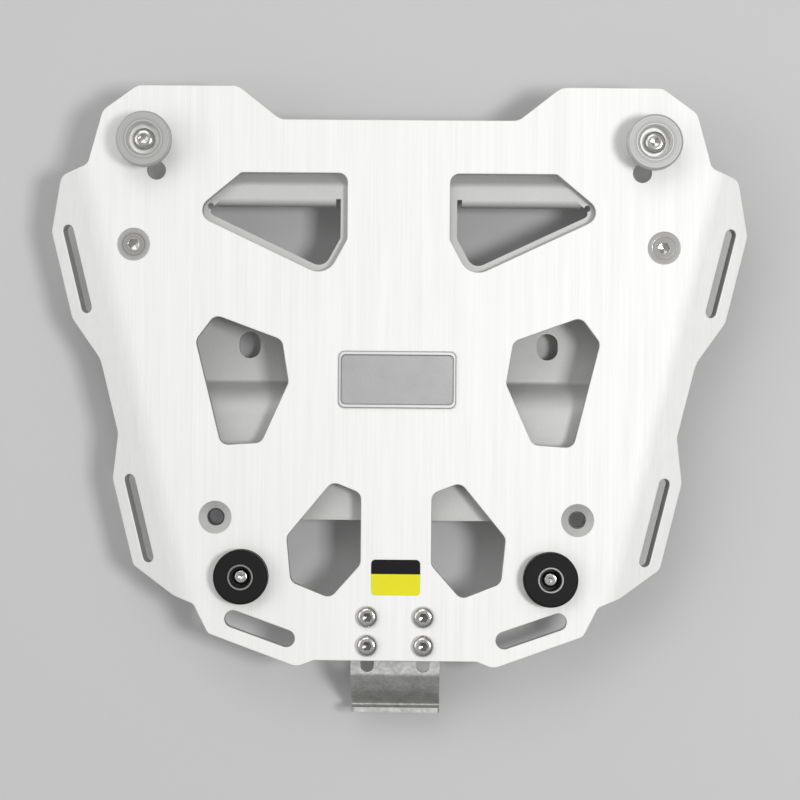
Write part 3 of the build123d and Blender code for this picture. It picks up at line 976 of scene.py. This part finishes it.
@dataclass(frozen=True)
class Lamp:
    """One square soft lamp that looks at the frame's origin, under the rack."""

    name: str
    place_m: tuple[float, float, float]
    side_m: float
    power_w: float

    def build(self) -> None:
        """Adds the lamp to the scene."""
        data = bpy.data.lights.new(self.name, "AREA")
        data.size = self.side_m
        data.energy = self.power_w
        lamp = bpy.data.objects.new(self.name, data)
        lamp.location = self.place_m
        lamp.rotation_euler = (-Vector(self.place_m)).to_track_quat("-Z", "Y").to_euler()
        bpy.context.scene.collection.objects.link(lamp)


@dataclass
class Studio:
    """Pale floor, soft light and the camera above the rack."""

    floor: str = "#C6C6C6"
    floor_roughness: float = 0.9
    floor_side_m: float = 8.0
    floor_gap_mm: float = 8.0
    bright_side: float = 0.575
    dark_side: float = 0.22
    lean: tuple[float, float, float] = (-0.5, 0.3, 0.81)
    camera_m: tuple[float, float, float] = (0.01551, -0.02635, 1.0)
    camera_turn_rad: tuple[float, float, float] = (0.0002, 0.0146, 0.0085)
    focus_px: float = 2046.0
    lamps: tuple[Lamp, ...] = (
        Lamp("key_lamp", place_m=(0.68, -0.05, 1.5), side_m=0.34, power_w=12.2),
        Lamp("front_lamp", place_m=(-0.3, 1.0, 1.5), side_m=1.0, power_w=5.1),
        Lamp("left_lamp", place_m=(-1.2, 0.1, 1.2), side_m=1.0, power_w=4.0),
    )

    def build_floor(self) -> None:
        """Lays the floor a little below the foot, which keeps the bolt slots darker than the trough."""
        mesh = bmesh.new()
        bmesh.ops.create_grid(mesh, x_segments=1, y_segments=1, size=self.floor_side_m / 2)
        bmesh.ops.translate(mesh, verts=mesh.verts, vec=(0, 0, -self.floor_gap_mm * MM))
        data = bpy.data.meshes.new("floor")
        mesh.to_mesh(data)
        mesh.free()
        # Uncoated paper: an even pale grey without a highlight.
        material = bpy.data.materials.new("Paper_pale_matt")
        material.use_nodes = True
        shader = material.node_tree.nodes["Principled BSDF"]
        shader.inputs["Base Color"].default_value = linear(self.floor)
        shader.inputs["Roughness"].default_value = self.floor_roughness
        data.materials.append(material)
        floor = bpy.data.objects.new("floor", data)
        bpy.context.scene.collection.objects.link(floor)

    def build_world(self) -> None:
        """Surrounds the scene with a soft grey that is lightest overhead, to the left and in front."""
        world = bpy.data.worlds.new("studio")
        bpy.context.scene.world = world
        world.use_nodes = True
        tree = world.node_tree
        tree.nodes.clear()
        around = add_node(tree, "ShaderNodeTexCoord").outputs["Generated"]
        leaning = {"operation": "DOT_PRODUCT", 1: self.lean}
        towards = add_node(tree, "ShaderNodeVectorMath", leaning, {0: around}).outputs["Value"]
        levels = {"To Min": self.dark_side, "To Max": self.bright_side}
        level = add_node(tree, "ShaderNodeMapRange", levels, {"Value": towards}).outputs[0]
        light = add_node(tree, "ShaderNodeBackground", {"Strength": 1.0}, {"Color": level}).outputs[0]
        add_node(tree, "ShaderNodeOutputWorld", links={"Surface": light})

    def build_camera(self) -> None:
        """Puts the camera above the rack, where the photograph was taken from."""
        data = bpy.data.cameras.new("camera")
        data.sensor_width = SENSOR_MM
        data.lens = self.focus_px * SENSOR_MM / IMAGE_PX
        camera = bpy.data.objects.new("camera", data)
        camera.location = self.camera_m
        camera.rotation_euler = self.camera_turn_rad
        bpy.context.scene.collection.objects.link(camera)
        bpy.context.scene.camera = camera

    def build(self) -> None:
        """Builds the whole studio."""
        bpy.context.scene.view_settings.view_transform = "Standard"
        self.build_floor()
        self.build_world()
        self.build_camera()
        for lamp in self.lamps:
            lamp.build()
        log.info("built the studio")


def main() -> None:
    """Dresses the rack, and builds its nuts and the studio."""
    logging.basicConfig(level=logging.INFO, format="%(message)s")
    steel = SCREW_STEEL.material()
    nylon = NUT_NYLON.material()
    Plate().dress()
    for group in (Bracket(), Studs(), Pads(), Catch()):
        group.dress(steel)
        group.nuts().build(steel, nylon)
    Studio().build()


if __name__ == "__main__":
    main()
